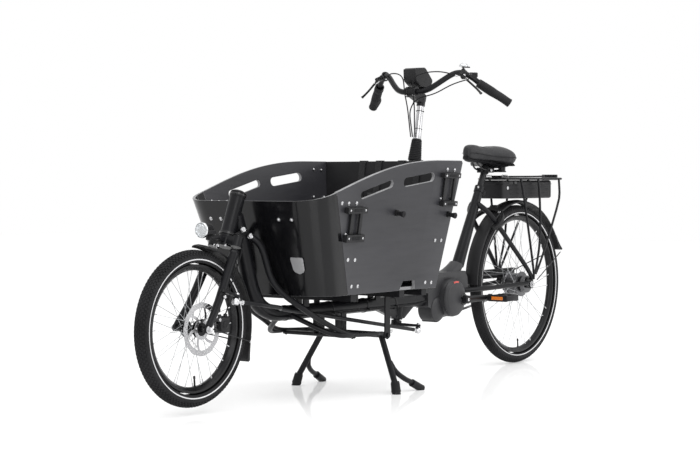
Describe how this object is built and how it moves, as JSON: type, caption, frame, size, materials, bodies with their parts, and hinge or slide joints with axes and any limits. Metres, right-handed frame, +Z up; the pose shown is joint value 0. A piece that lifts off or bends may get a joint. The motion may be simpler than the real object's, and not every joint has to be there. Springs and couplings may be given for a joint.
{
  "type": "cargo bicycle",
  "caption": "Two-wheeled cargo bicycle with a tapered wooden box ahead of the rider, linkage steering, hub-height tie rod, mid motor, double stand and rear carrier.",
  "frame": {"origin": "middle of the bicycle's footprint, on the ground, between the left and right sides", "axes": "+X forward, +Y to the rider's left, +Z up"},
  "size_m": [2.6239, 0.6702, 1.208],
  "materials": {
    "frame_black": "satin powder coat",
    "box_grey": "satin painted birch plywood",
    "box_black": "satin-gloss curved plastic panel",
    "box_inner": "satin painted plywood",
    "bolt_steel": "zinc plated",
    "axle_steel": "brushed steel",
    "spoke_steel": "drawn stainless wire",
    "rotor_steel": "ground stainless steel",
    "chain_steel": "oiled steel",
    "stem_silver": "polished aluminium",
    "hub_silver": "cast aluminium",
    "rim_black": "black anodised",
    "bar_black": "black anodised",
    "tyre_rubber": "moulded rubber",
    "grip_rubber": "ribbed soft rubber",
    "cable_rubber": "smooth cable housing",
    "plastic_black": "fine moulded grain",
    "motor_plastic": "moulded covers",
    "belt_fabric": "woven webbing",
    "saddle_cover": "stitched synthetic cover",
    "lamp_clear": "chromed lamp housing",
    "pedal_plastic": "moulded with grip tape"
  },
  "bodies": {
    "frame": {"head_tube": "frame_black", "down_tube": "frame_black", "main_beam": "frame_black", "cradle_tubes": "frame_black", "cradle_crossbars": "frame_black", "column_housing": "frame_black", "seat_tube": "frame_black", "motor_shell": "motor_plastic", "motor_unit": "motor_plastic", "chainstays": "frame_black", "seatstays": "frame_black", "box_side_left": "box_grey", "box_side_right": "box_grey", "box_front_panel": "box_black", "box_rear_panel": "box_inner", "box_floor": "box_inner", "bench": "box_inner", "seat_belts": "belt_fabric", "box_bolts": "bolt_steel", "tent_pole_clamps": "plastic_black", "rear_rack": "frame_black", "rear_mudguard": "plastic_black", "chain_guard": "plastic_black", "chain": "chain_steel", "ring_lock": "plastic_black", "rear_axle": "axle_steel"},
    "fork": {"fork_crown": "frame_black", "fork_legs": "frame_black", "front_mudguard": "plastic_black", "headlight": "lamp_clear", "front_brake_caliper": "plastic_black", "front_axle": "axle_steel"},
    "front_wheel": {"front_tyre": "tyre_rubber", "front_rim": "rim_black", "front_spokes": "spoke_steel", "front_hub": "bar_black", "front_rotor": "rotor_steel"},
    "rear_wheel": {"rear_tyre": "tyre_rubber", "rear_rim": "rim_black", "rear_spokes": "spoke_steel", "rear_hub": "hub_silver"},
    "rear_driver": {"rear_sprocket": "chain_steel"},
    "steering": {"steering_column": "frame_black", "stem": "stem_silver", "handlebar": "bar_black", "grips": "grip_rubber", "bar_controls": "plastic_black", "control_cables": "cable_rubber"},
    "tie_rod": {"tie_rod": "frame_black"},
    "stand": {"kickstand": "frame_black"},
    "cranks": {"crank_set": "bar_black"},
    "pedal_left": {"pedal_left": "pedal_plastic"},
    "pedal_right": {"pedal_right": "pedal_plastic"},
    "brake_lever_left": {"brake_lever_left": "bar_black"},
    "brake_lever_right": {"brake_lever_right": "bar_black"},
    "bell_lever": {"bell_lever": "plastic_black"},
    "gear_shifter": {"gear_shifter": "grip_rubber"},
    "seat": {"saddle": "saddle_cover", "seat_post": "bar_black"},
    "battery": {"battery": "plastic_black"}
  },
  "joints": [
    {"name": "column_turn", "type": "hinge", "parent": "frame", "child": "steering", "pos_m": [-0.221, 0, 0.843], "axis": [-0.1925, 0, 0.9813], "range_deg": [-30, 30]},
    {"name": "fork_turn", "type": "hinge", "parent": "frame", "child": "fork", "pos_m": [0.876, 0, 0.579], "axis": [-0.3746, 0, 0.9272], "range_deg": [-30, 30]},
    {"name": "rod_swing", "type": "hinge", "parent": "steering", "child": "tie_rod", "pos_m": [-0.1133, 0.0898, 0.198], "axis": [-0.1896, -0.016, 0.9817], "range_deg": [-30, 30]},
    {"name": "front_wheel_spin", "type": "hinge", "parent": "fork", "child": "front_wheel", "pos_m": [1.054, 0, 0.28], "axis": [0, 1, 0], "continuous": true},
    {"name": "rear_wheel_spin", "type": "hinge", "parent": "frame", "child": "rear_wheel", "pos_m": [-0.966, 0, 0.33], "axis": [0, 1, 0], "continuous": true},
    {"name": "crank_spin", "type": "hinge", "parent": "frame", "child": "cranks", "pos_m": [-0.459, 0, 0.295], "axis": [0, 1, 0], "continuous": true},
    {"name": "driver_spin", "type": "hinge", "parent": "frame", "child": "rear_driver", "pos_m": [-0.966, 0, 0.33], "axis": [0, 1, 0], "continuous": true},
    {"name": "pedal_left_spin", "type": "hinge", "parent": "cranks", "child": "pedal_left", "pos_m": [-0.629, 0.146, 0.295], "axis": [0, 1, 0], "continuous": true},
    {"name": "pedal_right_spin", "type": "hinge", "parent": "cranks", "child": "pedal_right", "pos_m": [-0.289, -0.146, 0.295], "axis": [0, 1, 0], "continuous": true},
    {"name": "stand_fold", "type": "hinge", "parent": "frame", "child": "stand", "pos_m": [0.184, 0, 0.205], "axis": [0, 1, 0], "range_deg": [0, 80]},
    {"name": "brake_lever_left_pull", "type": "hinge", "parent": "steering", "child": "brake_lever_left", "pos_m": [-0.25371, 0.20041, 1.15582], "axis": [0, 0.6455, 0.7638], "range_deg": [0, 18], "stiffness_Nm_per_rad": 1.2, "springref_deg": -8.59},
    {"name": "brake_lever_right_pull", "type": "hinge", "parent": "steering", "child": "brake_lever_right", "pos_m": [-0.25371, -0.20041, 1.15582], "axis": [0, 0.6455, -0.7638], "range_deg": [0, 18], "stiffness_Nm_per_rad": 1.2, "springref_deg": -8.59},
    {"name": "bell_lever_push", "type": "hinge", "parent": "steering", "child": "bell_lever", "pos_m": [-0.278, 0.186, 1.193], "axis": [0, 0, 1], "range_deg": [0, 25], "stiffness_Nm_per_rad": 0.05},
    {"name": "shifter_twist", "type": "hinge", "parent": "steering", "child": "gear_shifter", "pos_m": [-0.326, -0.247, 1.12], "axis": [-0.5549, -0.6354, -0.537], "range_deg": [-40, 40]},
    {"name": "seat_height", "type": "slide", "parent": "frame", "child": "seat", "axis": [-0.4654, 0, 0.8851], "range_m": [-0.02, 0.09]},
    {"name": "battery_slide", "type": "slide", "parent": "frame", "child": "battery", "axis": [-1, 0, 0], "range_m": [0, 0.4]}
  ],
  "couplings": [
    {"joint": "fork_turn", "follows": "column_turn", "ratio": 1},
    {"joint": "rod_swing", "follows": "column_turn", "ratio": -1},
    {"joint": "driver_spin", "follows": "crank_spin", "ratio": 1.96}
  ]
}
